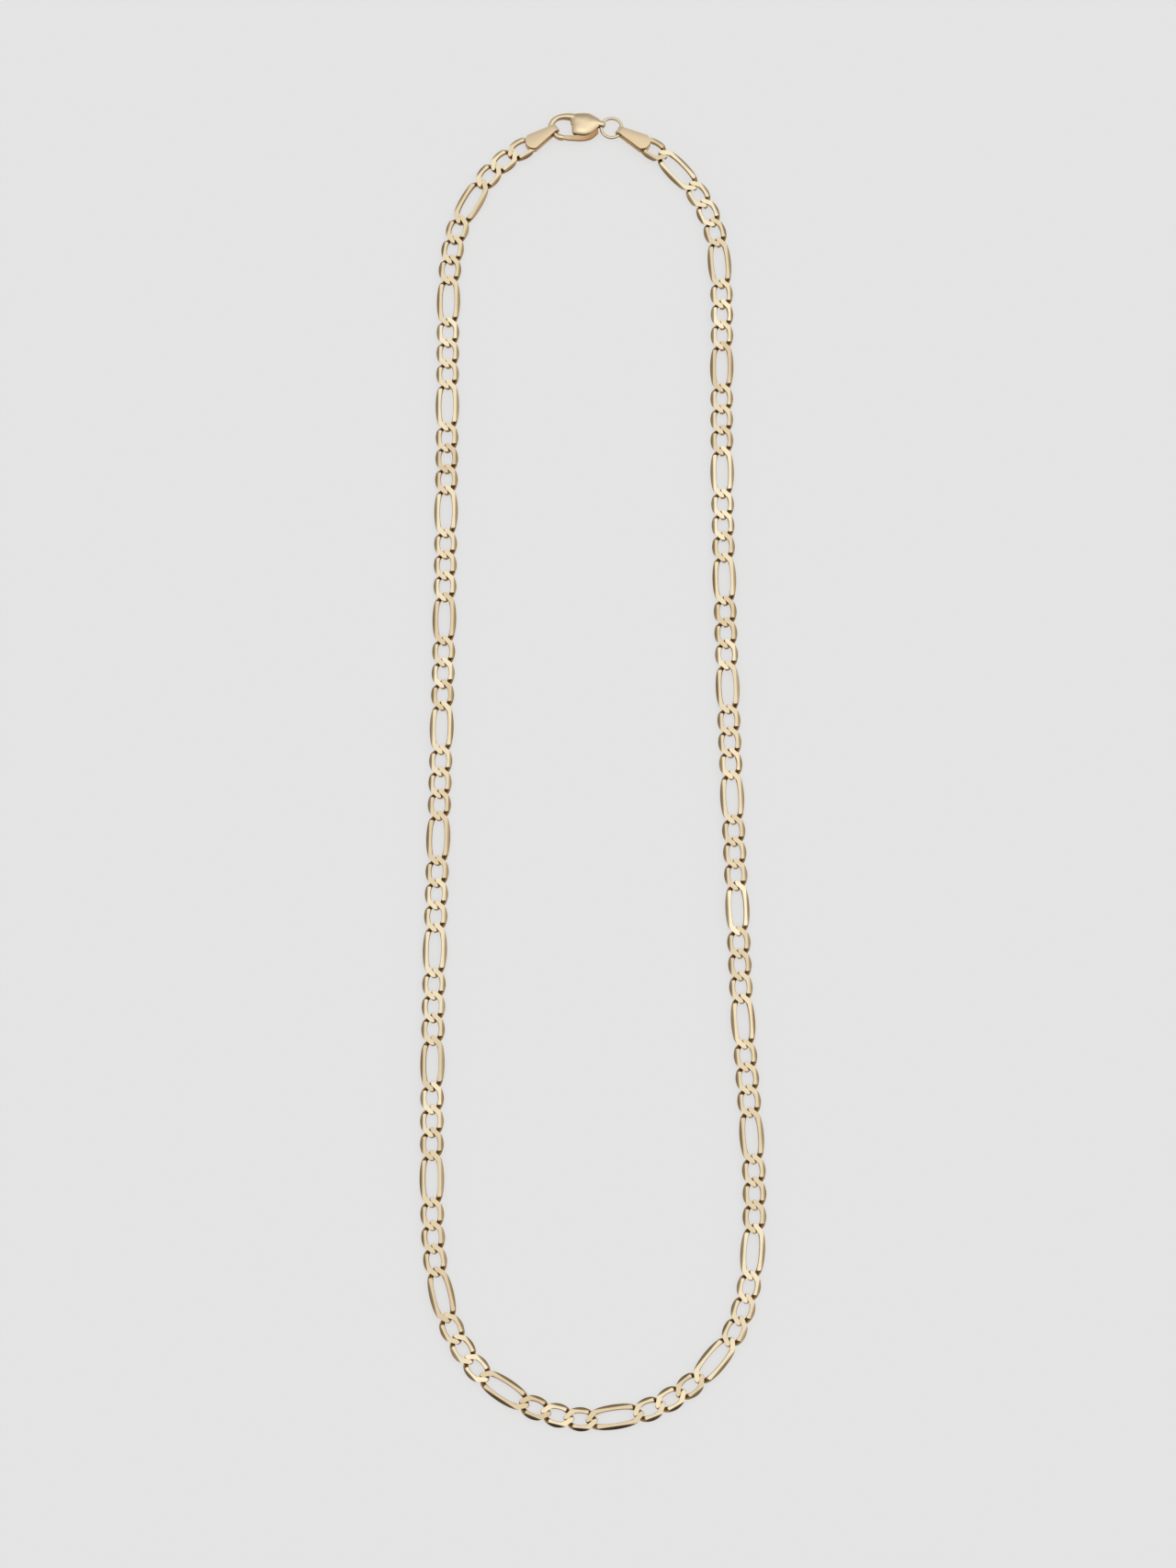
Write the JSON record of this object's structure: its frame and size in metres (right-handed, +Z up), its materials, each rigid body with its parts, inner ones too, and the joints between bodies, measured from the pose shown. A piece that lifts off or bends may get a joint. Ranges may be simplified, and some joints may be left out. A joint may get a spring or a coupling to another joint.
{
  "type": "figaro chain",
  "caption": "Yellow gold figaro neck chain, fastened and lying flat as a long loop, with flat diamond-cut links, folded end tags, a jump ring and a lobster clasp.",
  "frame": {"origin": "middle of the loop's outer size, on the surface it lies on", "axes": "+Y along the loop, towards the clasp; +X to the right seen from above; +Z up out of the surface"},
  "size_m": [0.0572, 0.2309, 0.002],
  "materials": {
    "cut_gold": "bright diamond-cut 14-carat yellow gold",
    "satin_gold": "satin 14-carat yellow gold",
    "polished_gold": "polished 14-carat yellow gold"
  },
  "bodies": {
    "necklace": {"chain_left": "cut_gold", "chain_right": "cut_gold", "end_tag_left": "satin_gold", "end_tag_right": "satin_gold", "jump_ring": "polished_gold", "clasp_body": "polished_gold", "clasp_rivet": "polished_gold"},
    "lever": {"clasp_lever": "polished_gold"}
  },
  "joints": [
    {"name": "clasp_lever_swing", "type": "hinge", "parent": "necklace", "child": "lever", "pos_m": [-0.00005, 0.11254, 0.001], "axis": [0, 0, 1], "range_deg": [-20, 0], "stiffness_Nm_per_rad": 0.0001, "springref_deg": 11.46}
  ]
}
